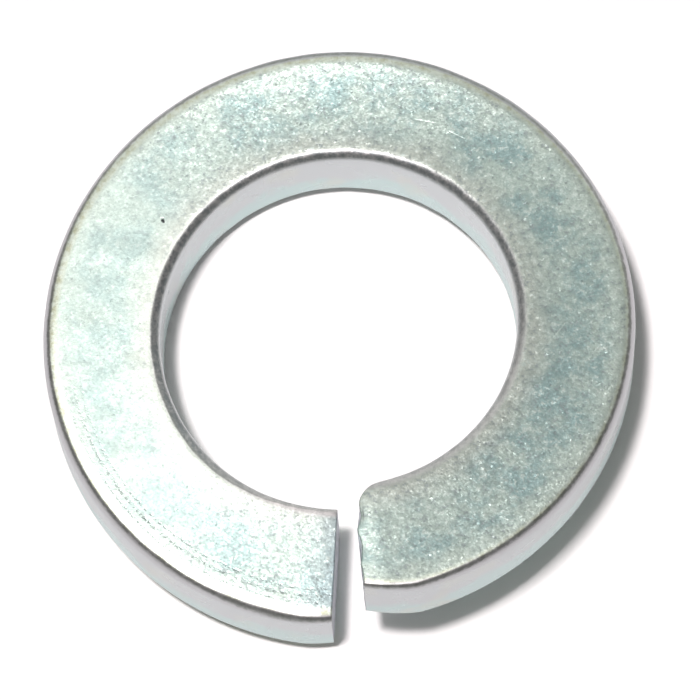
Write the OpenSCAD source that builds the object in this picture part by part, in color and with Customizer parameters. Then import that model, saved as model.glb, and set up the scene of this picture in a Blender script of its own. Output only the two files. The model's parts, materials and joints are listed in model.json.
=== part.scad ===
// Helical spring lock washer, one piece of square-cornered spring wire.
// The bore axis is +Z, the lowest point is at z = 0 and the gap faces -Y.
// Seen from above the coil climbs clockwise, which is a left-hand coil for right-hand threads.

/* [Wire] */
// Diameter of the bore
bore_d = 12.9; // [10:0.1:20]
// Width of the wire section, from the bore to the rim
wire_w = 4.25; // [3.5:0.05:7]
// Thickness of the wire section, along the axis
wire_t = 3.35; // [2.4:0.05:6]
// Depth of the four rolled long edges of the wire, along the axis
edge_depth = 0.35; // [0.15:0.01:0.6]
// Width of the long edges at the rim
rim_edge_w = 0.47; // [0.2:0.01:0.7]
// Width of the long edges at the bore
bore_edge_w = 0.37; // [0.2:0.01:0.7]

/* [Coil] */
// Climb of the coil over one full turn
pitch = 3.1; // [1.5:0.05:6]
// Gap between the cut ends, along the middle of the wire
gap_w = 0.96; // [0.6:0.02:2.4]
// Turn of the low end's cut away from the radial direction, in degrees
low_cut_skew = 1.9; // [0:0.1:5]

/* [Sheared ends] */
// Radius of the high end's corner at the bore
nose_r = 1.35; // [0.3:0.05:1.5]
// Length of rim that the shear drew in at the high end
high_drawn_len = 1.6; // [0.8:0.1:3]
// Depth by which the rim is drawn in at the high cut
high_drawn_depth = 0.4; // [0.1:0.05:0.6]
// Length of rim that the shear drew in at the low end
low_drawn_len = 0.9; // [0.5:0.1:2]
// Depth by which the rim is drawn in at the low cut
low_drawn_depth = 0.12; // [0.05:0.01:0.4]
// Length of the rolled-over top edge at each cut
roll_len = 0.55; // [0.3:0.05:1]
// Depth of the rolled-over top edge at each cut
roll_depth = 0.14; // [0.05:0.01:0.3]

/* [Hidden] */

bore_r = bore_d / 2;
rim_r = bore_r + wire_w;
mean_r = bore_r + wire_w / 2;

// Angles run along the coil from the low cut, in degrees, and climb clockwise.
gap_angle = 2 * asin(gap_w / 2 / mean_r);
sweep = 360 - gap_angle;
low_plan_angle = -90 - gap_angle / 2;
high_plan_angle = -90 + gap_angle / 2;
free_height = wire_t + pitch * sweep / 360;

// The swept blank runs past the walls and the cuts, which then trim it.
// At the low end it also covers the skewed cut, which is longest at the bore.
over_wall = 0.08;
over_rim = 0.02;
over_cut = 0.35;
over_low_cut = over_cut + low_cut_skew * (mean_r - bore_r) / bore_r;
over_cap = 2;
edge_steps = 5;
edge_last = 12;
edge_power = 1.18;
ring_step = 3;
roll_angle = roll_len / bore_r * 180 / PI;
roll_steps = 6;
nose_steps = 8;
drawn_steps = 6;
drawn_power = 1.3;
round_fn = 240;

function lerp(a, b, t) = a + (b - a) * t;
function on_plan(r, angle) = [r * cos(angle), r * sin(angle)];

// A point of a long edge as [distance from the wall, height from the flat]. The angle a is
// 90 at the flat and 0 at the wall. An edge_power of 1 gives an ellipse, 2 a straight chamfer.
function edge_point(edge_w, a) = [
    edge_w * (1 - pow(cos(a), edge_power)),
    edge_depth * (pow(sin(a), edge_power) - 1)
];

// One corner of the section: the long edge stops short of the wall, and a straight run
// carries its last direction to a point outside the wall.
// side is 1 at the rim and -1 at the bore. Points go from the flat to the wall.
function top_corner(side) =
    let (
        wall_r = side > 0 ? rim_r : bore_r,
        edge_w = side > 0 ? rim_edge_w : bore_edge_w,
        last = edge_point(edge_w, edge_last),
        fall = edge_depth / edge_w / pow(tan(edge_last), 2 - edge_power)
    )
    concat(
        [for (k = [0:edge_steps]) let (p = edge_point(edge_w, lerp(90, edge_last, k / edge_steps)))
            [wall_r - side * p[0], p[1]]],
        [[wall_r + side * over_wall, last[1] - (last[0] + over_wall) * fall]]
    );

function reversed(points) = [for (k = [len(points) - 1:-1:0]) points[k]];

// The top half of the section from bore to rim, with heights from the top face.
top_half = concat(reversed(top_corner(-1)), top_corner(1));
half_n = len(top_half);
section_n = 2 * half_n;

// How far the top face dips, at a distance along the coil from the nearest cut
function roll_drop(distance) = roll_depth * pow(1 - min(max(distance / roll_len, 0), 1), 2);

// One ring of the blank at an angle along the coil, top half first, then the bottom back
function ring(along) =
    let (
        angle = low_plan_angle - along,
        base = pitch * along / 360,
        cut_distance = min(along, sweep - along) * PI / 180 * mean_r,
        top = base + wire_t
    )
    concat(
        [for (p = top_half) [p[0] * cos(angle), p[0] * sin(angle), top + p[1] - roll_drop(cut_distance)]],
        [for (p = reversed(top_half)) [p[0] * cos(angle), p[0] * sin(angle), base - p[1]]]
    );

// Rings are close together near the cuts and evenly spaced between them.
middle_steps = ceil((sweep - 2 * roll_angle) / ring_step);
stations = concat(
    [for (k = [0:roll_steps - 1]) lerp(-over_low_cut, roll_angle, k / roll_steps)],
    [for (k = [0:middle_steps]) lerp(roll_angle, sweep - roll_angle, k / middle_steps)],
    [for (k = [1:roll_steps]) lerp(sweep - roll_angle, sweep + over_cut, k / roll_steps)]
);

module blank() {
    rings = len(stations);
    points = [for (along = stations) each ring(along)];
    sides = [for (k = [0:rings - 2]) for (j = [0:section_n - 1])
        let (
            a = k * section_n + j,
            b = k * section_n + (j + 1) % section_n
        )
        each [[a, b + section_n, a + section_n], [a, b, b + section_n]]
    ];
    start_cap = [for (j = [section_n - 1:-1:0]) j];
    end_cap = [for (j = [0:section_n - 1]) (rings - 1) * section_n + j];
    polyhedron(points = points, faces = concat(sides, [start_cap, end_cap]), convexity = 6);
}

// Plan of the slot between the ends. The low side is a straight cut, a little off radial.
// The high side has a rounded corner at the bore. At both sides the rim is drawn in.
function low_cut(r) =
    let (middle = on_plan(mean_r, low_plan_angle))
    middle + (r - mean_r) * on_plan(1, low_plan_angle - low_cut_skew);

// Rim points of one end, from just outside the rim to the cut at the angle given,
// so that the curve crosses the rim. side is 1 for the high end and -1 for the low end.
function drawn_rim(angle, side, length, depth) =
    [for (k = [0:drawn_steps])
        let (
            t = k / drawn_steps,
            away = side * (1 - t) * length / rim_r * 180 / PI
        )
        on_plan(rim_r + over_rim * (1 - t) - depth * pow(t, drawn_power), angle + away)
    ];

// The corner is an arc that touches the cut and runs just into the bore.
nose_centre_r = bore_r + nose_r - over_rim;
nose_turn = asin(nose_r / nose_centre_r);
nose_centre = on_plan(nose_centre_r, high_plan_angle + nose_turn);
nose_points = [for (k = [0:nose_steps])
    nose_centre + on_plan(nose_r, high_plan_angle + lerp(180 + nose_turn, 270, k / nose_steps))
];

// The skewed low cut meets the rim at an angle a little behind the cut's middle.
low_rim_point = low_cut(rim_r - low_drawn_depth);
low_rim_angle = atan2(low_rim_point[1], low_rim_point[0]);
high_drawn = drawn_rim(high_plan_angle, 1, high_drawn_len, high_drawn_depth);
low_drawn = drawn_rim(low_rim_angle, -1, low_drawn_len, low_drawn_depth);

module gap_cut() {
    translate([0, 0, -over_cap])
        linear_extrude(height = free_height + 2 * over_cap)
            polygon(concat(
                [low_cut(bore_r / 2)],
                reversed(low_drawn),
                [2 * low_drawn[0], 2 * high_drawn[0]],
                high_drawn,
                reversed(nose_points),
                [on_plan(bore_r - nose_r, high_plan_angle + nose_turn)]
            ));
}

// An upright round bar on the axis, longer than the washer is tall
module round_bar(r) {
    translate([0, 0, -over_cap])
        cylinder(h = free_height + 2 * over_cap, r = r, $fn = round_fn);
}

// The ends are cut first. The bar then trims the rim and the bore to true cylinders.
module lock_washer() {
    color([0.72, 0.76, 0.74])
        difference() {
            intersection() {
                difference() {
                    blank();
                    gap_cut();
                }
                round_bar(rim_r);
            }
            round_bar(bore_r);
        }
}

lock_washer();
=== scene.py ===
# Spring lock washer: the plated coil, the table it lies on, lamps and camera
import json
import math
import types
import bpy
import numpy as np
from mathutils import Matrix, Vector


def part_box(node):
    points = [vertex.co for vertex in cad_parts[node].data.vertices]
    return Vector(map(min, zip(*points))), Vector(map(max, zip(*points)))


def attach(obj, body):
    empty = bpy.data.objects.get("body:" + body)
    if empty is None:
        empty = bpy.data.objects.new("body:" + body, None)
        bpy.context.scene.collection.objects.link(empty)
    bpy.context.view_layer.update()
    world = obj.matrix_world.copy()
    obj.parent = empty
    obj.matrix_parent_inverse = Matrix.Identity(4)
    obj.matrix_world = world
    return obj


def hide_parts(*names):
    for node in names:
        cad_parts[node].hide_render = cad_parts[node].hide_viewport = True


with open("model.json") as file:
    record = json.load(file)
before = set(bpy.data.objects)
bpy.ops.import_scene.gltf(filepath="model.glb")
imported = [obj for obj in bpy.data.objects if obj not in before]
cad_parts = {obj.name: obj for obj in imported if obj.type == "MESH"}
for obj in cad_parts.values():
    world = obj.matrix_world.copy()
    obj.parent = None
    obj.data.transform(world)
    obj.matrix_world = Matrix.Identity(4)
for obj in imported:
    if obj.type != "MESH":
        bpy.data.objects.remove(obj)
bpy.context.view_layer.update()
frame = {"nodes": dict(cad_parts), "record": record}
mm = 0.001
print("frame loaded, nodes:", sorted(frame["nodes"]))

# The wire and its coil, in millimetres and degrees
coil = {
    "thickness": 3.35,
    "rimEdge": (0.42, 0.72, 2.0),  # depth, width as a share of it, and fullness: 2 is an ellipse
    "boreEdge": (0.35, 1.05, 1.7),
    "shoulderWidth": 0.62,  # strip at the rim where the faces start to fall
    "shoulderDrop": 0.12,
    "shoulderStart": (1.0, 6.0),  # where it starts after the high cut, and the length of its run-in
    "climbPerTurn": 3.1,
    "gapWidth": 0.96,
    "lowCutSkew": 1.9,
    "skewFade": 25,  # degrees over which the skew of the low cut fades out
    "noseRadius": 1.35,  # high end's corner at the bore
    "noseFade": 30,
    "highDrawnLength": 1.6,  # rim that the shear drew in at each end
    "highDrawnDepth": 0.40,
    "lowDrawnLength": 0.9,
    "lowDrawnDepth": 0.12,
    "drawnPower": 1.3,
    "rollLength": 0.85,  # top edges that the shear rolled over
    "rollDepth": 0.085,
    "lowRollShare": 0.35,  # the low end rolled over less
    "cutRounding": 0.045,  # length of the rounding at the very edge of a cut, and its depth
    "cutRoundingDepth": 0.0315,
}

# What the press and the plating bath left on it, in millimetres. Waves are the shortest and
# the longest one.
wear = {
    "edgeWander": 0.035,  # share by which the size of the long edges wanders
    "edgeWaves": (1.0, 9.0),
    "highEdgeSharp": 0.36,  # share of its depth that a top edge loses at an end
    "lowEdgeSharp": 0.35,
    "lowBoreSharp": 0.62,
    "lowBoreLength": 7.0,
    "sharpLength": 2.6,
    "faceRipple": 0.002,
    "faceWaves": (0.7, 4.5),
    "faceHollow": 0.020,  # the faces are a little lower along the middle
    "faceFade": 0.1,  # share of the width next to each wall where ripple and hollow fade in
    "endDish": 0.058,  # outward slope of the upper face at the low end
    "endDishStart": 1.5,
    "endDishLength": 15.0,
    # Slopes of the upper face: middle and reach along the coil in degrees, slope towards the rim,
    # and the share of it that grows towards the rim instead of tilting the whole face
    "leans": [(182, 34, 0.058, 1.0), (122, 20, 0.010, 1.0), (280, 48, -0.022, 0.0)],
    "wallRipple": 0.004,
    "wallWaves": (0.8, 5.0),
    # Tears (less than 0), burr and nub of the high cut: height, distance from the bore, half width
    "cutMarks": [(-0.15, 1.20, 0.34), (0.05, 1.74, 0.20), (-0.07, 2.40, 0.36), (0.085, 3.28, 0.07)],
    "cutRaggedness": 0.01,
    "cutWaves": (0.25, 1.2),
    "cutMarkReach": 0.35,  # length of coil that the marks of the cut move
    "cutMarksFrom": 0.45,  # share of the thickness above which the marks come in
}

# How fine the mesh is
weave = {
    "rings": 880,
    "endRings": 14,
    "endSpan": 2.4,  # degrees next to each cut that take the end rings
    "endCrowding": 1.6,  # above 1 the end rings crowd towards the cut
    "arcSteps": 5,
    "flatSteps": 22,
    "wallSteps": 8,
    "sharpAngle": 38,  # degrees from which two faces meet in a crisp edge
    "wallFrom": (0.45, 0.85),  # share of an edge's depth over which the finish turns into the wall's
}

boreMount = [m for m in frame["record"]["mounts"] if m["name"] == "bore"][0]
boxLow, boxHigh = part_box("lock_washer")
boreRadius = boreMount["dims"]["r_mm"]
rimRadius = boxHigh.x / mm
wireWidth = rimRadius - boreRadius
meanRadius = (rimRadius + boreRadius) / 2
perDegree = meanRadius * math.pi / 180  # length of a degree of coil along the wire's middle
gapAngle = 2 * math.degrees(math.asin(coil["gapWidth"] / 2 / meanRadius))
sweep = 360 - gapAngle
lowPlanAngle = -90 - gapAngle / 2


def smoothStep(x):
    x = np.clip(x, 0, 1)
    return x * x * (3 - 2 * x)


# A smooth wandering value over a surface, from waves with fixed random directions
def wander(seed, u, v, shortest, longest, waves=14):
    rng = np.random.default_rng(seed)
    total = np.zeros(np.broadcast(u, v).shape)
    for _ in range(waves):
        length = math.exp(rng.uniform(math.log(shortest), math.log(longest)))
        turn = rng.uniform(0, 2 * math.pi)
        phase = rng.uniform(0, 2 * math.pi)
        total += np.cos(2 * math.pi / length * (math.cos(turn) * u + math.sin(turn) * v) + phase)
    return total / math.sqrt(waves / 2)


# Outline of the wire's section, from the bore's top edge over the flat and down the rim.
# Each point is a share of width and thickness plus shares of the four edges' depths,
# in the order bore top, rim top, bore bottom, rim bottom.
def sectionRows():
    boreTop, rimTop, boreBottom, rimBottom = range(4)
    bore, rim = coil["boreEdge"][1], coil["rimEdge"][1]

    def point(x, y, edgeX=(0, 0, 0, 0), edgeY=(0, 0, 0, 0)):
        return (x, *edgeX, y, *edgeY)

    # Half of a rolled edge, from the first angle on: 0 degrees is at the wall and 90 at the flat
    def edge(corner, first):
        atRim, below = corner % 2, corner // 2
        here = np.eye(4)[corner]
        _, spread, fullness = coil["rimEdge"] if atRim else coil["boreEdge"]
        points = []
        for k in range(weave["arcSteps"] + 1):
            turn = math.radians(first + 45 * k / weave["arcSteps"])
            inset = spread * (1 - abs(math.cos(turn)) ** (2 / fullness))
            drop = math.sin(turn) ** (2 / fullness) - 1
            edgeX = here * inset * (1 - 2 * atRim)
            edgeY = here * drop * (1 - 2 * below)
            points.append(point(atRim, 1 - below, edgeX, edgeY))
        return points

    flat = [k / weave["flatSteps"] for k in range(1, weave["flatSteps"])]
    wall = [k / weave["wallSteps"] for k in range(1, weave["wallSteps"])]
    top = edge(boreTop, 45)
    top += [point(f, 1, (bore * (1 - f), -rim * f, 0, 0)) for f in flat]
    top += edge(rimTop, 45)[::-1]
    right = edge(rimTop, 0)[::-1]
    right += [point(1, 1 - f, edgeY=(0, f - 1, 0, f)) for f in wall]
    right += edge(rimBottom, 0)
    bottom = edge(rimBottom, 45)
    bottom += [point(f, 0, (0, 0, bore * (1 - f), -rim * f)) for f in reversed(flat)]
    bottom += edge(boreBottom, 45)[::-1]
    left = edge(boreBottom, 0)[::-1]
    left += [point(0, f, edgeY=(-f, 0, 1 - f, 0)) for f in wall]
    left += edge(boreTop, 0)
    outline = np.array(top[:-1] + right[:-1] + bottom[:-1] + left[:-1])
    return outline, len(top) - 1, len(right) - 1


rows, topCount, sideCount = sectionRows()
around = len(rows)


# Section points for edges whose depth changes along the coil. depths is rings by four,
# and the result is two arrays of rings by points.
def sectionAt(depths):
    x = rows[:, 0] * wireWidth + depths @ rows[:, 1:5].T
    y = rows[:, 5] * coil["thickness"] + depths @ rows[:, 6:10].T
    return x, y


noseCentre = boreRadius + coil["noseRadius"]
noseTurn = math.degrees(math.asin(coil["noseRadius"] / noseCentre))
noseReach = math.sqrt(noseCentre ** 2 - coil["noseRadius"] ** 2)


# How far the high end stops short of its radial cut, in degrees, at a radius
def noseStop(r):
    r = np.minimum(r, noseReach)
    away = (r ** 2 + noseCentre ** 2 - coil["noseRadius"] ** 2) / (2 * r * noseCentre)
    return noseTurn - np.degrees(np.arccos(np.clip(away, -1, 1)))


# How far the low end starts past its nominal cut, in degrees, at a radius
def skewStart(r):
    side = (r - meanRadius) * math.sin(math.radians(coil["lowCutSkew"]))
    ahead = meanRadius + (r - meanRadius) * math.cos(math.radians(coil["lowCutSkew"]))
    return np.degrees(np.arctan2(side, ahead))


# How far the high cut's marks and its ragged line stand out, in millimetres. The marks are on
# its upper half only.
def cutLine(x, y):
    marks = sum(height * np.exp(-((x - spot) / half) ** 2) for height, spot, half in wear["cutMarks"])
    upperHalf = smoothStep((y / coil["thickness"]) / wear["cutMarksFrom"] - 1)
    return marks * upperHalf + wear["cutRaggedness"] * wander(31, x, y, *wear["cutWaves"])


# A share that is 1 at a cut and falls to 0 at a length away from it
def cutShare(distance, length, power):
    return np.clip(1 - distance / length, 0, 1) ** power


# How far the shear drew the rim in
def drawnIn(fromLow, fromHigh):
    high = coil["highDrawnDepth"] * cutShare(fromHigh, coil["highDrawnLength"], coil["drawnPower"])
    low = coil["lowDrawnDepth"] * cutShare(fromLow, coil["lowDrawnLength"], coil["drawnPower"])
    return high + low


# How far the top edges of the cuts are rolled over, and rounded at the very edge.
# The rounding stops a little short of a full quarter turn.
def rolledOver(fromLow, fromHigh):
    nearest = np.minimum(fromLow, fromHigh)
    roll = coil["rollDepth"] * cutShare(nearest, coil["rollLength"], 2)
    roll = roll * np.where(fromLow < fromHigh, coil["lowRollShare"], 1)
    bite = cutShare(nearest, coil["cutRounding"], 1)
    return roll + coil["cutRoundingDepth"] * (1 - np.sqrt(1 - bite ** 2 * 0.96))


# How far ripple, hollow and shoulder move the two faces, and slopes the upper one, upwards
def faceRise(x, y, a, along):
    inside = np.clip(x / wireWidth, 0, 1)
    height = np.clip(y / coil["thickness"], 0, 1)
    outwards = 2 * height - 1
    flatShare = smoothStep(inside / wear["faceFade"]) * smoothStep((1 - inside) / wear["faceFade"])
    ripple = wear["faceRipple"] * wander(5, along * perDegree, x, *wear["faceWaves"])
    hollow = wear["faceHollow"] * 4 * inside * (1 - inside)
    pastLow = (a * perDegree - wear["endDishStart"]) / wear["endDishLength"]
    slopes = -wear["endDish"] * (1 - smoothStep(pastLow)) * (x - wireWidth / 2)
    for middle, reach, slope, byRim in wear["leans"]:
        lean = slope * np.exp(-((a - middle) / reach) ** 2)
        slopes = slopes + lean * (byRim * x ** 2 / wireWidth + (1 - byRim) * (x - wireWidth / 2))
    shoulder = np.clip((x - wireWidth) / coil["shoulderWidth"] + 1, 0, 1) ** 2
    start, runIn = coil["shoulderStart"]
    shoulder = shoulder * smoothStep(((sweep - a) * perDegree - start) / runIn)
    level = flatShare * (ripple - hollow) - coil["shoulderDrop"] * shoulder
    return outwards * level + slopes * height ** 5


# Place of a section point (x from the bore, y from the underside) at an angle along the coil
def place(x, y, a):
    r = boreRadius + x
    fromLow, fromHigh = a * perDegree, (sweep - a) * perDegree
    skew = skewStart(r) * (1 - smoothStep(a / coil["skewFade"]))
    nose = noseStop(r) * (1 - smoothStep((sweep - a) / coil["noseFade"]))
    torn = cutLine(x, y) / (r * math.pi / 180) * (1 - smoothStep(fromHigh / wear["cutMarkReach"]))
    along = a + skew - nose + torn
    r = r - smoothStep(2 * x / wireWidth - 1) * drawnIn(fromLow, fromHigh)
    upper = np.clip(y / coil["thickness"], 0, 1) ** 5
    z = coil["climbPerTurn"] * along / 360 + y - rolledOver(fromLow, fromHigh) * upper
    z = z + faceRise(x, y, a, along)
    # The ripple of the walls goes into the wire, so that they stay between the true cylinders
    inside = np.clip(x / wireWidth, 0, 1)
    wallShare = np.abs(2 * inside - 1) ** 24
    ripple = wear["wallRipple"] * (1 + 0.5 * wander(9, along * perDegree, y, *wear["wallWaves"]))
    r = r - wallShare * np.sign(inside - 0.5) * ripple
    plan = np.radians(lowPlanAngle - along)
    return np.stack(np.broadcast_arrays(r * np.cos(plan), r * np.sin(plan), z), -1)


# Rings close together at the two cuts, evenly spaced between them
def ringAngles():
    near = weave["endSpan"] * (np.arange(weave["endRings"]) / weave["endRings"]) ** weave["endCrowding"]
    middle = np.linspace(weave["endSpan"], sweep - weave["endSpan"], weave["rings"])
    return np.concatenate([near, middle, sweep - near[::-1]])


# Depths of the four long edges at each ring. They wander, and the top ones are sharper next to
# the cuts.
def edgeDepths(arc):
    wandering = [1 + wear["edgeWander"] * wander(seed, arc, 0 * arc, *wear["edgeWaves"])
                 for seed in (11, 12, 13, 14)]
    depths = np.tile([coil["boreEdge"][0], coil["rimEdge"][0]], 2) * np.concatenate(wandering, 1)
    fromHigh = arc[-1] - arc
    depths[:, 1:2] *= 1 - wear["highEdgeSharp"] * (1 - smoothStep(fromHigh / wear["sharpLength"]))
    depths[:, 0:1] *= 1 - wear["lowBoreSharp"] * (1 - smoothStep(arc / wear["lowBoreLength"]))
    depths[:, 1:2] *= 1 - wear["lowEdgeSharp"] * (1 - smoothStep(arc / wear["sharpLength"]))
    return depths


# Faces between neighbouring rings, all facing outwards
def sideFaces(ringCount):
    start = around * np.arange(ringCount - 1)[:, None]
    first = np.arange(around)[None, :]
    following = (first + 1) % around
    after = start + around
    quads = np.stack([after + first, after + following, start + following, start + first], -1)
    return quads.reshape(-1, 4)


# Numbers of a ring's points along its four sides, from the bore to the rim or upwards
def ringSides():
    rightEnd = topCount + sideCount
    bottomEnd = rightEnd + topCount
    top = np.arange(topCount + 1)
    right = np.arange(topCount, rightEnd + 1)[::-1]
    bottom = np.arange(rightEnd, bottomEnd + 1)[::-1]
    left = np.append(np.arange(bottomEnd, around), 0)
    return top, right, bottom, left


# Inner values of a grid that is stretched between the values on a ring's four sides
def stretchGrid(values):
    top, right, bottom, left = (values[side] for side in ringSides())
    s = np.linspace(0, 1, topCount + 1)[:, None]
    t = np.linspace(0, 1, sideCount + 1)[None, :]
    across = (1 - s) * left[None, :] + s * right[None, :]
    upward = (1 - t) * bottom[:, None] + t * top[:, None]
    corners = ((1 - s) * (1 - t) * bottom[0] + s * (1 - t) * bottom[-1]
               + (1 - s) * t * top[0] + s * t * top[-1])
    return (across + upward - corners)[1:-1, 1:-1]


# Faces of a cut: the ring's own points around it, and inner points numbered from firstInner on
def cutFaces(ring, firstInner):
    top, right, bottom, left = (ring * around + side for side in ringSides())
    number = np.empty((topCount + 1, sideCount + 1), int)
    number[:, -1] = top
    number[:, 0] = bottom
    number[0, :] = left
    number[-1, :] = right
    inner = number[1:-1, 1:-1]
    inner[:] = firstInner + np.arange(inner.size).reshape(inner.shape)
    loop = [number[:-1, :-1], number[1:, :-1], number[1:, 1:], number[:-1, 1:]]
    if ring == 0:
        loop.reverse()
    return np.stack([corner.ravel() for corner in loop], 1)


# Values that the finish reads at each point: how much it belongs to a wall, how far across
# and up the wire it is, and how far along the coil. Points inside the cuts take plain values.
def markPoints(mesh, x, y, angles):
    drop = np.abs(rows[:, 6:10]).sum(1)
    atWall = (rows[:, 0] == 0) | (rows[:, 0] == 1)
    flush = np.abs(rows[:, 1:5]).sum(1) == 0
    start, end = weave["wallFrom"]
    wallRow = np.where(flush, 1, np.clip((drop - start) / (end - start), 0, 1)) * atWall
    fields = {
        "wallShare": (np.tile(wallRow, len(angles)), 0),
        "acrossWire": ((x / wireWidth).ravel(), 0.5),
        "upWire": ((y / coil["thickness"]).ravel(), 0.5),
        "alongCoil": (np.repeat(angles[:, 0] / 360, around), 0),
    }
    for name, (ringValues, insideCuts) in fields.items():
        values = np.full(len(mesh.vertices), insideCuts, np.float32)
        values[:len(ringValues)] = ringValues
        mesh.attributes.new(name, "FLOAT", "POINT").data.foreach_set("value", values)


def buildCoil():
    angles = ringAngles()[:, None]
    x, y = sectionAt(edgeDepths(angles * perDegree))
    points = [place(x, y, angles).reshape(-1, 3)]
    faces = [sideFaces(len(angles))]
    placed = len(points[0])
    for ring, angle in ((0, 0.0), (len(angles) - 1, sweep)):
        inner = place(stretchGrid(x[ring]), stretchGrid(y[ring]), angle).reshape(-1, 3)
        points.append(inner)
        faces.append(cutFaces(ring, placed))
        placed += len(inner)
    points = np.concatenate(points) * mm
    isCut = np.repeat(np.array([0, 1, 1], np.int32), [len(group) for group in faces])
    faces = np.concatenate(faces)

    mesh = bpy.data.meshes.new("washerCoil")
    mesh.from_pydata(points.tolist(), [], faces.tolist())
    mesh.validate()
    mesh.polygons.foreach_set("material_index", isCut)
    mesh.polygons.foreach_set("use_smooth", np.ones(len(faces), bool))
    mesh.set_sharp_from_angle(angle=math.radians(weave["sharpAngle"]))
    markPoints(mesh, x, y, angles)
    mesh.update()
    made = bpy.data.objects.new("washerCoil", mesh)
    bpy.context.scene.collection.objects.link(made)
    return made, points


washer, washerPoints = buildCoil()
print("coil built,", len(washer.data.polygons), "faces")


# Shader helpers. The first adds a node, with values or links for its inputs.
def addNode(tree, kind, inputs=None, **settings):
    made = tree.nodes.new(kind)
    for name, value in settings.items():
        setattr(made, name, value)
    for name, value in (inputs or {}).items():
        socket = made.inputs[name]
        if isinstance(value, bpy.types.NodeSocket):
            tree.links.new(value, socket)
        else:
            socket.default_value = value
    return made


def calc(tree, operation, a, b=0.0, c=0.0, clamp=False):
    made = addNode(tree, "ShaderNodeMath", {0: a, 1: b, 2: c}, operation=operation, use_clamp=clamp)
    return made.outputs[0]


def product(tree, *factors):
    total = factors[0]
    for factor in factors[1:]:
        total = calc(tree, "MULTIPLY", total, factor)
    return total


# A value plus a share of another one
def moved(tree, value, by, share):
    return calc(tree, "MULTIPLY_ADD", by, share, value)


def apart(tree, a, b):
    return calc(tree, "ABSOLUTE", calc(tree, "SUBTRACT", a, b))


def vectorCalc(tree, operation, inputs):
    return addNode(tree, "ShaderNodeVectorMath", inputs, operation=operation).outputs[0]


# A straight change from low to high while the value goes from start to end
def ramp(tree, value, low, high, start=0.0, end=1.0):
    made = addNode(tree, "ShaderNodeMapRange", {0: value, 1: start, 2: end, 3: low, 4: high})
    return made.outputs[0]


# Straight changes one after another, through (place, value) pairs
def rampThrough(tree, value, pairs):
    total = pairs[0][1]
    for (start, before), (end, after) in zip(pairs, pairs[1:]):
        if after != before:
            total = calc(tree, "ADD", ramp(tree, value, 0, after - before, start, end), total)
    return total


def mixColour(tree, share, a, b):
    return addNode(tree, "ShaderNodeMix", {0: share, 6: a, 7: b}, data_type="RGBA").outputs[2]


def mixValue(tree, share, a, b):
    return addNode(tree, "ShaderNodeMix", {0: share, 2: a, 3: b}, data_type="FLOAT").outputs[0]


def noise(tree, place, scale, detail, roughness):
    inputs = {"Vector": place, "Scale": scale, "Detail": detail, "Roughness": roughness}
    return addNode(tree, "ShaderNodeTexNoise", inputs).outputs["Fac"]


# Bump from a height in micrometres
def bumpNormal(tree, height, **under):
    inputs = {"Height": height, "Distance": 1e-6, "Strength": 1.0, **under}
    return addNode(tree, "ShaderNodeBump", inputs).outputs["Normal"]


def newMaterial(name):
    material = bpy.data.materials.new(name)
    material.use_nodes = True
    material.node_tree.nodes.clear()
    return material, material.node_tree


def finishMaterial(tree, surface):
    out = addNode(tree, "ShaderNodeOutputMaterial")
    tree.links.new(surface, out.inputs["Surface"])


# A point's own place on the washer, in millimetres
def placeInMillimetres(tree):
    where = addNode(tree, "ShaderNodeTexCoord").outputs["Object"]
    return vectorCalc(tree, "SCALE", {0: where, "Scale": 1 / mm})


# Patterns of the bright zinc plate: waves per millimetre, detail and roughness
platePatterns = {
    "wave": (1.1, 3.0, 0.6),  # moves the borders between zones
    "cloud": (0.72, 4.0, 0.65),
    "fleck": (10.0, 2.0, 0.5),
    "mottle": (4.0, 3.0, 0.6),
    "stain": (3.2, 4.0, 0.75),
    "wobble": (5.5, 3.0, 0.7),  # moves the dark lines of painted reflection
    "drift": (0.45, 3.0, 0.6),
    "warmth": (0.55, 2.0, 0.5),
}

# What changes along the coil, as (place, value) pairs: 0 is the low cut and 1 a full turn on
plateAlong = {
    "grainShare": [(0.02, 0.9), (0.12, 0.27), (0.34, 0.27), (0.46, 1), (0.90, 1), (0.97, 0.7)],
    "grainInset": [(0.58, 0.20), (0.72, 0)],  # millimetres by which the grain starts further in
    "farSide": [(0.34, 0), (0.46, 1), (0.60, 1), (0.72, 0)],
    "nearCut": [(0.03, 1), (0.10, 0), (0.90, 0), (0.97, 1)],
    "boreLine": [(0.06, 0), (0.14, 1), (0.70, 1), (0.80, 0.15)],
    "rollingLines": [(0.14, 1), (0.23, 0.05)],
    "blueEnd": [(0, 0.6), (0.026, 0)],
}

# Zones across the wire: share of the wave pattern that moves the border, the zone's share
# before and after the border, and the millimetres between which it changes
plateZones = {
    "grainFromRim": (0.35, (0, 1), (0.37, 0.60)),
    "grainFromBore": (0.25, (0, 1), (0.30, 0.60)),
    "clouds": (0.8, (0.15, 1), (0.75, 1.45)),
    "warmAtBore": (-1.1, (0.75, 0), (0, 0.9)),
    "borderAtRim": (1.0, (0.75, 0), (0.70, 1.75)),
    "rolledEdge": (0, (1, 0), (0.24, 0.42)),
    "outerEdge": (0.1, (1, 0), (0.25, 0.34)),
}


# Share of a zone at a distance from the rim or the bore
def zone(tree, at, name, distance):
    sway, shares, border = plateZones[name]
    return ramp(tree, moved(tree, distance, at.wave, sway), *shares, *border)


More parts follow.
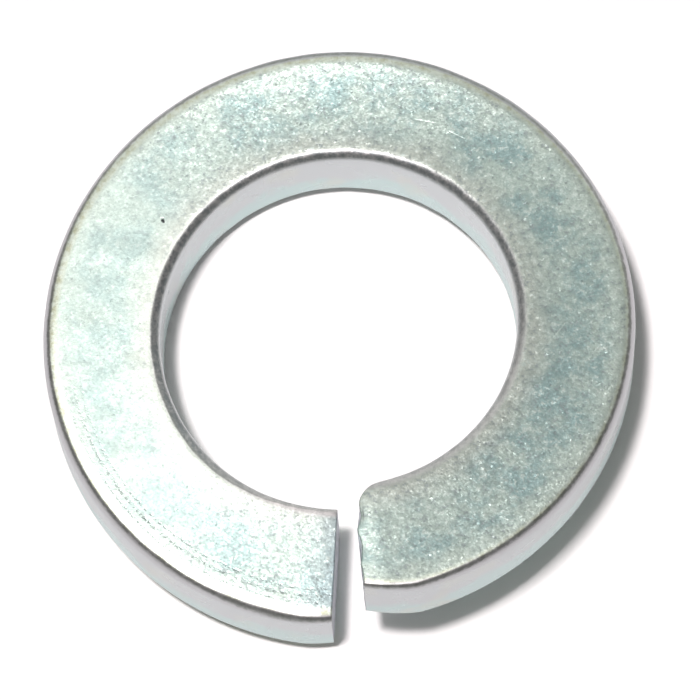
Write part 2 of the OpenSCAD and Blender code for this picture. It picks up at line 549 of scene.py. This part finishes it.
# What the layers of the plate read at a point: distances in millimetres, shares and patterns
def surveyPlate(tree):
    at = types.SimpleNamespace(place=placeInMillimetres(tree))
    for name in ("wallShare", "upWire", "acrossWire", "alongCoil"):
        setattr(at, name, addNode(tree, "ShaderNodeAttribute", attribute_name=name).outputs["Fac"])
    for name, look in platePatterns.items():
        setattr(at, name, noise(tree, at.place, *look))
    for name, pairs in plateAlong.items():
        setattr(at, name, rampThrough(tree, at.alongCoil, pairs))
    at.fromBore = calc(tree, "MULTIPLY", at.acrossWire, wireWidth)
    at.fromRim = calc(tree, "SUBTRACT", wireWidth, at.fromBore)
    # The grain covers the faces and fades out towards the rolled edges
    rimSide = zone(tree, at, "grainFromRim", calc(tree, "SUBTRACT", at.fromRim, at.grainInset))
    boreSide = zone(tree, at, "grainFromBore", at.fromBore)
    at.grained = product(tree, rimSide, boreSide, at.grainShare)
    at.onTop = calc(tree, "GREATER_THAN", at.upWire, 0.97)  # upper face, inside its rolled edges
    return at


# Faces of the plate. Bands are the pattern values between which a layer comes in.
plateFaces = {
    "green": (0.56, 0.69, 0.625, 1),
    "blue": (0.385, 0.545, 0.53, 1),  # clouds
    "cloudBand": (0.42, 0.60),
    "calmCloudShare": 0.45,  # clouds are weaker where the grain is fine
    "calmCloudBand": (0.2, 1.0),
    "warm": (0.64, 0.69, 0.62, 1),  # next to the bore
    "border": (0.68, 0.78, 0.69, 1),  # next to the rim
    "blueEnd": (0.60, 0.75, 0.79, 1),  # next to the low cut
    # The light fleck colour is a painted glint on the grain's peaks, and the dark colour below is
    # painted shade in its hollows and grooves
    "fleck": (0.82, 0.94, 0.88, 1),
    "fleckBand": (1.38, 1.66),
    "hollowShade": (0.34, 0.40, 0.40, 1),
    "hollowShadeBand": (0.94, 1.24),
    "speckShare": 0.8,
    "speckledBand": (0, 0.5),  # share of the grain over which the specks come in
    "mottleInSpecks": 1.6,
}


def faceColour(tree, at):
    look = plateFaces
    cloud = ramp(tree, at.cloud, 0, 1, *look["cloudBand"])
    calm = ramp(tree, at.grainShare, look["calmCloudShare"], 1, *look["calmCloudBand"])
    midway = zone(tree, at, "clouds", calc(tree, "MINIMUM", at.fromBore, at.fromRim))
    colour = mixColour(tree, product(tree, cloud, calm, midway), look["green"], look["blue"])
    colour = mixColour(tree, zone(tree, at, "warmAtBore", at.fromBore), colour, look["warm"])
    colour = mixColour(tree, zone(tree, at, "borderAtRim", at.fromRim), colour, look["border"])
    colour = mixColour(tree, at.blueEnd, colour, look["blueEnd"])
    # Specks follow the grain's height: painted glints where it is high, painted shade where it is low
    specks = moved(tree, at.fleck, at.mottle, look["mottleInSpecks"])
    speckled = ramp(tree, at.grained, 0, 1, *look["speckledBand"])
    light = ramp(tree, specks, 0, look["speckShare"], *look["fleckBand"])
    dark = ramp(tree, specks, look["speckShare"], 0, *look["hollowShadeBand"])
    colour = mixColour(tree, product(tree, light, speckled), colour, look["fleck"])
    return mixColour(tree, product(tree, dark, speckled), colour, look["hollowShade"])


# Rolled edges beside the faces: smoother, stained, and another tint on their outer part
plateEdges = {
    "rim": (0.84, 0.93, 0.82, 1),
    "rimStain": (0.61, 0.65, 0.48, 1),
    "rimOuter": (0.80, 0.79, 0.81, 1),  # outside the dark line of painted reflection
    "farOuter": (0.59, 0.615, 0.63, 1),  # the same on the coil's far side
    "bore": (0.80, 0.79, 0.775, 1),
    "boreStain": (0.60, 0.60, 0.59, 1),
    "stainBand": (0.42, 0.62),
    "farOuterWider": 0.09,  # millimetres that the outer part is wider on the far side
    "insetShare": 0.8,  # share of the grain's inset that the rolled edge takes up
}


def edgeColour(tree, at, face):
    look = plateEdges
    stained = ramp(tree, at.stain, 0, 1, *look["stainBand"])
    rim = mixColour(tree, stained, look["rim"], look["rimStain"])
    outer = mixColour(tree, at.farSide, look["rimOuter"], look["farOuter"])
    outerPlace = moved(tree, at.fromRim, at.farSide, -look["farOuterWider"])
    rim = mixColour(tree, zone(tree, at, "outerEdge", outerPlace), rim, outer)
    bore = mixColour(tree, stained, look["bore"], look["boreStain"])
    edge = mixColour(tree, calc(tree, "LESS_THAN", at.fromBore, wireWidth / 2), rim, bore)
    rimPlace = moved(tree, at.fromRim, at.grainInset, -look["insetShare"])
    nearest = calc(tree, "MINIMUM", at.fromBore, rimPlace)
    return mixColour(tree, zone(tree, at, "rolledEdge", nearest), face, edge)


# Dark lines along the rolled edges, painted as a dark reflection, in millimetres. A line's middle is
# its place plus up to the wobble away from its wall. The line is full up to the first reach and gone at
# the second.
darkReflectionLines = {
    "rim": {"colour": (0.22, 0.24, 0.21, 1), "share": 0.80, "place": 0.15, "wobble": 0.14,
            "reach": (0.0275, 0.077)},
    "bore": {"colour": (0.17, 0.22, 0.24, 1), "share": 0.62, "place": 0.13, "wobble": 0.12,
             "reach": (0.084, 0.182)},
    "shiftNearCut": -0.10,  # next to the cuts the rim's line is nearer the wall and wider
    "wideningNearCut": 0.45,
    "rimBreaks": (0.55, 0.95, 0.35, 0.62),  # shares of the line at two values of the stain, and these
    "boreBreaks": (0.40, 1.0, 0.92, 1.26),  # the same for the specks that break the bore's line
    "mottleInBreaks": 1.2,
}


# Paints the dark reflection lines of the rim and the bore over the colour
def darkReflectionColour(tree, at, colour):
    rim, bore = darkReflectionLines["rim"], darkReflectionLines["bore"]
    middle = moved(tree, rim["place"], at.wobble, rim["wobble"])
    middle = moved(tree, middle, at.nearCut, darkReflectionLines["shiftNearCut"])
    away = apart(tree, at.fromRim, middle)
    away = product(tree, away, moved(tree, 1.0, at.nearCut, -darkReflectionLines["wideningNearCut"]))
    line = ramp(tree, away, 1, 0, *rim["reach"])
    line = product(tree, line, ramp(tree, at.stain, *darkReflectionLines["rimBreaks"]), rim["share"])
    colour = mixColour(tree, line, colour, rim["colour"])

    middle = moved(tree, bore["place"], at.wobble, bore["wobble"])
    line = ramp(tree, apart(tree, at.fromBore, middle), 1, 0, *bore["reach"])
    specks = moved(tree, at.fleck, at.mottle, darkReflectionLines["mottleInBreaks"])
    breaks = ramp(tree, specks, *darkReflectionLines["boreBreaks"])
    line = product(tree, line, breaks, at.boreLine, bore["share"])
    return mixColour(tree, line, colour, bore["colour"])


# Walls of the plate: lilac above, mint below a wavy line, warm in places
plateWalls = {
    "lilac": (0.765, 0.77, 0.79, 1),
    "mint": (0.715, 0.83, 0.825, 1),
    "mintBand": (0.82, 1.02),
    "warm": (0.81, 0.80, 0.745, 1),
    "warmShare": 0.7,
    "warmBand": (0.56, 0.72),
}


def wallColour(tree, at):
    look = plateWalls
    upper = ramp(tree, moved(tree, at.upWire, at.drift, 1.0), 0, 1, *look["mintBand"])
    colour = mixColour(tree, upper, look["mint"], look["lilac"])
    warm = ramp(tree, at.warmth, 0, look["warmShare"], *look["warmBand"])
    return mixColour(tree, warm, colour, look["warm"])


# Grain of the plate and the small pits in it, with heights in micrometres. The pits' dark colour is
# painted shade.
grain = {
    "fleckHeight": 3.0,
    "mottleHeight": 11.0,
    "edgeShare": 0.10,  # share of the grain left on the rolled edges, and of that on the walls
    "wallShare": 0.5,
    "pitsPerMillimetre": 2.2,
    "pitReach": (0.03, 0.14),  # shares of a pit's cell where its slope starts and ends
    "pitDepth": 2.5,
    "pitShadeColour": (0.22, 0.25, 0.25, 1),
    "pitShadeShare": 0.5,
}


# Height of the grain, its strength at each point, and its small pits
def layGrain(tree, at):
    height = product(tree, at.fleck, grain["fleckHeight"])
    height = moved(tree, height, at.mottle, grain["mottleHeight"])
    cells = addNode(tree, "ShaderNodeTexVoronoi",
                    {"Vector": at.place, "Scale": grain["pitsPerMillimetre"]}, feature="F1")
    pit = ramp(tree, cells.outputs["Distance"], 1, 0, *grain["pitReach"])
    pit = product(tree, pit, at.grained)
    height = moved(tree, height, pit, -grain["pitDepth"])
    strength = ramp(tree, at.grained, grain["edgeShare"], 1)
    strength = product(tree, strength, ramp(tree, at.wallShare, 1, grain["wallShare"]))
    return product(tree, height, strength), strength, pit


# Rolling lines near the rim of the low end: distance from the rim and reach in millimetres,
# and depth in micrometres. Each is a real groove, darkened with painted shade.
rollingLines = {
    "lines": [(0.70, 0.07, 4.0), (0.98, 0.09, 7.0), (1.22, 0.07, 5.0)],
    "wobble": 0.16,
    "breakBand": (0.50, 0.58),
    "share": 0.75,
}


def drawRollingLines(tree, at, colour, height):
    onFace = calc(tree, "SUBTRACT", 1.0, at.wallShare)
    visible = product(tree, onFace, at.rollingLines)
    broken = ramp(tree, at.fleck, 0, 1, *rollingLines["breakBand"])
    for distance, reach, depth in rollingLines["lines"]:
        middle = moved(tree, distance - rollingLines["wobble"] / 2, at.wave, rollingLines["wobble"])
        line = ramp(tree, apart(tree, at.fromRim, middle), 1, 0, 0, reach)
        line = product(tree, line, broken, visible)
        height = moved(tree, height, line, -depth)
        # Painted shade darkens each groove
        share = product(tree, line, rollingLines["share"])
        colour = mixColour(tree, share, colour, plateFaces["hollowShade"])
    return colour, height


# Marks on the upper face, in millimetres on plan. A scratch is its two ends and half width; it is a
# real dent, lighter along its length as a painted highlight, and the last one is a painted glint beside
# the pit. A pit is a short line: its two ends and radius, and its dark middle is painted shade.
marks = {
    "scratchesAndGlint": [
        ((3.15, 7.72), (3.86, 7.53), 0.045),
        ((4.35, 7.17), (4.88, 6.85), 0.035),
        ((7.69, -1.15), (8.12, -0.62), 0.035),
        ((-6.27, 4.60), (-6.17, 4.61), 0.035),
    ],
    "scratchDepth": 3.0,  # micrometres
    "scratchHighlightShare": 0.5,
    "pits": [
        ((-6.21, 4.51), (-6.19, 4.51), 0.075),
        ((-6.18, 4.45), (-6.16, 4.45), 0.05),
    ],
    "pitStrength": 2.0,  # above 1 a pit's dark middle is wider
    "pitShadeColour": (0.05, 0.06, 0.06, 1),
}


# A mask that is 1 on the line between two points on plan and 0 beyond its half width
def lineMask(tree, x, y, start, end, halfWidth):
    dx, dy = end[0] - start[0], end[1] - start[1]
    length = math.hypot(dx, dy)
    fromX = calc(tree, "SUBTRACT", x, start[0])
    fromY = calc(tree, "SUBTRACT", y, start[1])
    forward = moved(tree, product(tree, fromY, dy / length), fromX, dx / length)
    aside = moved(tree, product(tree, fromY, dx / length), fromX, -dy / length)
    past = calc(tree, "SUBTRACT", apart(tree, forward, length / 2), length / 2)
    past = calc(tree, "MAXIMUM", past, 0.0)
    reach = calc(tree, "SQRT", moved(tree, product(tree, aside, aside), past, past))
    return ramp(tree, reach, 1, 0, 0, halfWidth)


def drawMarks(tree, at, colour, height):
    spot = addNode(tree, "ShaderNodeSeparateXYZ", {0: at.place})
    x, y = spot.outputs["X"], spot.outputs["Y"]
    for start, end, halfWidth in marks["scratchesAndGlint"]:
        mark = product(tree, lineMask(tree, x, y, start, end, halfWidth), at.onTop)
        height = moved(tree, height, mark, -marks["scratchDepth"])
        # Painted highlight lightens each scratch, and the last mark is a painted glint
        share = product(tree, mark, marks["scratchHighlightShare"])
        colour = mixColour(tree, share, colour, plateFaces["fleck"])
    for start, end, radius in marks["pits"]:
        # Painted shade darkens the middle of each pit
        pitShade = product(tree, lineMask(tree, x, y, start, end, radius), at.onTop)
        pitShade = calc(tree, "MULTIPLY", pitShade, marks["pitStrength"], clamp=True)
        colour = mixColour(tree, pitShade, colour, marks["pitShadeColour"])
    return colour, height


# Zinc crystals: each one leans its own way and catches the lamp or misses it
crystals = {
    "size": 0.075,  # millimetres
    "tilt": 0.066,  # lean of most crystals
    "askewTilt": 0.19,  # further lean of the few that stand askew
    "askewPower": 10.0,  # the higher, the fewer
}


def crystalNormal(tree, at, strength):
    cells = addNode(tree, "ShaderNodeTexVoronoi",
                    {"Vector": at.place, "Scale": 1 / crystals["size"]}, feature="F1")
    lean = vectorCalc(tree, "SUBTRACT", {0: cells.outputs["Color"], 1: (0.5, 0.5, 0.5)})
    chance = addNode(tree, "ShaderNodeSeparateColor", {0: cells.outputs["Color"]}).outputs["Blue"]
    askew = calc(tree, "POWER", chance, crystals["askewPower"])
    tilt = moved(tree, crystals["tilt"], askew, crystals["askewTilt"])
    lean = vectorCalc(tree, "SCALE", {0: lean, "Scale": product(tree, strength, tilt)})
    outward = addNode(tree, "ShaderNodeNewGeometry").outputs["Normal"]
    leaning = vectorCalc(tree, "ADD", {0: outward, 1: lean})
    return vectorCalc(tree, "NORMALIZE", {0: leaning})


# Gloss of the plate, as roughness at the pattern's lower and upper values
plateGloss = {
    "metallic": 0.88,
    "face": (0.47, 0.36),
    "wall": (0.24, 0.32),
    "band": (0.3, 0.7),
}


def zincPlate():
    material, tree = newMaterial("zincPlate")
    at = surveyPlate(tree)
    # The faces and rolled edges get their painted dark reflection lines here
    face = darkReflectionColour(tree, at, edgeColour(tree, at, faceColour(tree, at)))
    colour = mixColour(tree, at.wallShare, face, wallColour(tree, at))
    height, strength, pit = layGrain(tree, at)
    colour, height = drawRollingLines(tree, at, colour, height)
    colour, height = drawMarks(tree, at, colour, height)
    # Painted shade darkens the small pits of the grain
    colour = mixColour(tree, product(tree, pit, grain["pitShadeShare"]), colour, grain["pitShadeColour"])
    normal = bumpNormal(tree, height, Normal=crystalNormal(tree, at, strength))
    faceGloss = ramp(tree, at.fleck, *plateGloss["face"], *plateGloss["band"])
    wallGloss = ramp(tree, at.drift, *plateGloss["wall"], *plateGloss["band"])
    gloss = mixValue(tree, at.wallShare, faceGloss, wallGloss)
    shader = addNode(tree, "ShaderNodeBsdfPrincipled",
                     {"Base Color": colour, "Roughness": gloss, "Normal": normal,
                      "Metallic": plateGloss["metallic"]})
    finishMaterial(tree, shader.outputs["BSDF"])
    return material


# The sheared ends: the same plate over a torn, streaked face. Heights are in micrometres.
shear = {
    "light": (0.88, 0.86, 0.96, 1),
    "dark": (0.50, 0.50, 0.55, 1),
    "darkBand": (0.35, 0.65),
    "roughness": 0.42,
    "metallic": 0.6,
    "stretch": (6.0, 6.0, 0.7),  # streaks run up and down the cut, so they are long along the axis
    "streaks": (1.0, 4.0, 0.65),  # waves per millimetre, detail and roughness, as for the plate
    "streakHeight": 9.0,
    "tears": (5.0, 4.0, 0.7),
    "tearHeight": 4.0,
}


def shearedZinc():
    material, tree = newMaterial("shearedZinc")
    place = placeInMillimetres(tree)
    stretched = addNode(tree, "ShaderNodeMapping", {"Vector": place, "Scale": shear["stretch"]})
    streak = noise(tree, stretched.outputs[0], *shear["streaks"])
    tear = noise(tree, place, *shear["tears"])
    dark = ramp(tree, streak, 0, 1, *shear["darkBand"])
    height = moved(tree, product(tree, tear, shear["tearHeight"]), streak, shear["streakHeight"])
    shader = addNode(tree, "ShaderNodeBsdfPrincipled",
                     {"Base Color": mixColour(tree, dark, shear["light"], shear["dark"]),
                      "Roughness": shear["roughness"], "Normal": bumpNormal(tree, height),
                      "Metallic": shear["metallic"]})
    finishMaterial(tree, shader.outputs["BSDF"])
    return material


washer.data.materials.append(zincPlate())
washer.data.materials.append(shearedZinc())
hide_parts("lock_washer")
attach(washer, "root")
print("zinc finish made")

# The table is tilted, because the free coil rests on its low end and on the far side of its rim
table = {
    "size": 0.8,
    "white": (0.86, 0.86, 0.87, 1),
    "mirroredWhite": (1.155, 1.22, 1.21, 1),  # as the metal mirrors it
    "seenWhite": (1.70, 1.71, 1.70, 1),  # overexposed, as white paper is in the photograph
}


def paleTable():
    material, tree = newMaterial("paleTable")
    path = addNode(tree, "ShaderNodeLightPath")
    white = mixColour(tree, path.outputs["Is Glossy Ray"], table["white"], table["mirroredWhite"])
    white = mixColour(tree, path.outputs["Is Camera Ray"], white, table["seenWhite"])
    seen = addNode(tree, "ShaderNodeBsdfDiffuse", {"Color": white}).outputs[0]
    # Seen from below the table is clear, so that the underside can be looked at
    clear = addNode(tree, "ShaderNodeBsdfTransparent").outputs[0]
    back = addNode(tree, "ShaderNodeNewGeometry").outputs["Backfacing"]
    below = product(tree, back, path.outputs["Is Camera Ray"])
    finishMaterial(tree, addNode(tree, "ShaderNodeMixShader", {0: below, 1: seen, 2: clear}).outputs[0])
    return material


def layTable():
    slopeY = coil["climbPerTurn"] / (4 * meanRadius)
    slopeX = coil["climbPerTurn"] / (2 * math.pi * rimRadius)
    lift = float(np.min(washerPoints @ (-slopeX, -slopeY, 1)))
    half = table["size"] / 2
    corners = [(sx * half, sy * half) for sx, sy in ((-1, -1), (1, -1), (1, 1), (-1, 1))]
    mesh = bpy.data.meshes.new("tableTop")
    mesh.from_pydata([(x, y, lift + slopeX * x + slopeY * y) for x, y in corners], [], [(0, 1, 2, 3)])
    mesh.materials.append(paleTable())
    made = bpy.data.objects.new("tableTop", mesh)
    bpy.context.scene.collection.objects.link(made)


layTable()
print("table laid")

# Softbox beside the camera, at the left front. Distances in metres, directions in the washer's frame.
softbox = {
    "towards": (-0.139, -0.103, 0.985),
    "distance": 0.61,
    "size": 0.062,
    "power": 1.88,
    "haloSize": 0.36,  # soft light around the box
    "haloPower": 0.28,
    "colour": (1.045, 0.978, 0.985),
}


def hangLamp(name, shape, size, power):
    direction = Vector(softbox["towards"]).normalized()
    centre = Vector((0, 0, (boxLow.z + boxHigh.z) / 2))
    lamp = bpy.data.lights.new(name, "AREA")
    lamp.shape = shape
    lamp.size = size
    lamp.energy = power
    lamp.color = softbox["colour"]
    made = bpy.data.objects.new(name, lamp)
    made.location = centre + direction * softbox["distance"]
    made.rotation_euler = direction.to_track_quat("Z", "Y").to_euler()
    bpy.context.scene.collection.objects.link(made)


hangLamp("softbox", "SQUARE", softbox["size"], softbox["power"])
hangLamp("halo", "DISK", softbox["haloSize"], softbox["haloPower"])

# Room: white where the camera looks at it and dim for the table. The metal mirrors pale walls
# low down, a brighter one behind the washer, and a pale panel high at the back left.
room = {
    "dim": 0.034,
    "dimColour": (1.12, 0.90, 0.98, 1),
    "overhead": 0.03,
    "sides": 0.17,
    "sidesTop": (0.55, 0.80),  # heights over which the walls fade into the ceiling
    "back": 0.60,
    "backTowards": (0.10, 0.87, 0.48),
    "backCosines": (0.45, 0.85),
    "backTop": (0.70, 0.88),
    "backColour": (0.985, 1.0, 0.975, 1),
    "panel": 0.6,
    "panelTowards": (-0.20, 0.47, 0.86),
    "panelCosines": (0.968, 0.998),
    "floor": 0.9,  # below the horizon
}


def lightRoom():
    world = bpy.data.worlds.new("room")
    bpy.context.scene.world = world
    world.use_nodes = True
    tree = world.node_tree
    tree.nodes.clear()
    direction = addNode(tree, "ShaderNodeTexCoord").outputs["Generated"]

    # How far a direction leans towards another one
    def leaning(way, low, high):
        turned = addNode(tree, "ShaderNodeVectorMath", {0: direction, 1: Vector(way).normalized()},
                         operation="DOT_PRODUCT").outputs["Value"]
        made = addNode(tree, "ShaderNodeMapRange", {0: turned, 1: low, 2: high, 3: 0.0, 4: 1.0})
        made.interpolation_type = "SMOOTHSTEP"
        return made.outputs[0]

    height = addNode(tree, "ShaderNodeSeparateXYZ", {0: direction}).outputs["Z"]
    back = leaning(room["backTowards"], *room["backCosines"])
    back = product(tree, back, ramp(tree, height, 1, 0, *room["backTop"]))
    panel = leaning(room["panelTowards"], *room["panelCosines"])
    level = ramp(tree, height, room["sides"], room["overhead"], *room["sidesTop"])
    level = moved(tree, level, back, room["back"])
    level = moved(tree, level, panel, room["panel"])
    below = calc(tree, "LESS_THAN", height, 0.0)
    level = calc(tree, "MAXIMUM", level, product(tree, below, room["floor"]))
    path = addNode(tree, "ShaderNodeLightPath")
    mirrored, seen = path.outputs["Is Glossy Ray"], path.outputs["Is Camera Ray"]
    strength = mixValue(tree, seen, mixValue(tree, mirrored, room["dim"], level), 1.0)
    colour = mixColour(tree, mirrored, room["dimColour"], room["backColour"])
    colour = mixColour(tree, seen, colour, (1, 1, 1, 1))
    backdrop = addNode(tree, "ShaderNodeBackground", {"Color": colour, "Strength": strength})
    out = addNode(tree, "ShaderNodeOutputWorld")
    tree.links.new(backdrop.outputs[0], out.inputs["Surface"])


lightRoom()
print("lamps and room set")

# Camera at the photograph's angle. Aim and distance in millimetres, angles in degrees.
view = {
    "aim": (0.392, -0.373, 3.18),
    "distance": 192.6,
    "elevation": 70.59,
    "turn": 1.88,
    "roll": -4.36,
    "lens": 273.4,
    "sensor": 36.0,
    "clip": (0.01, 10),  # metres
}


def placeCamera():
    turn, rise, roll = (math.radians(view[k]) for k in ("turn", "elevation", "roll"))
    back = Vector((math.sin(turn) * math.cos(rise), -math.cos(turn) * math.cos(rise), math.sin(rise)))
    right = Vector((math.cos(turn), math.sin(turn), 0))
    up = back.cross(right)
    rolledRight = right * math.cos(roll) + up * math.sin(roll)
    rolledUp = up * math.cos(roll) - right * math.sin(roll)
    data = bpy.data.cameras.new("camera")
    data.lens = view["lens"]
    data.sensor_width = view["sensor"]
    data.clip_start, data.clip_end = view["clip"]
    made = bpy.data.objects.new("camera", data)
    turned = Matrix((rolledRight, rolledUp, back)).transposed().to_4x4()
    spot = Vector(view["aim"]) * mm + back * view["distance"] * mm
    made.matrix_world = Matrix.Translation(spot) @ turned
    bpy.context.scene.collection.objects.link(made)
    bpy.context.scene.camera = made


placeCamera()
bpy.context.scene.view_settings.view_transform = "Standard"
print("camera placed")
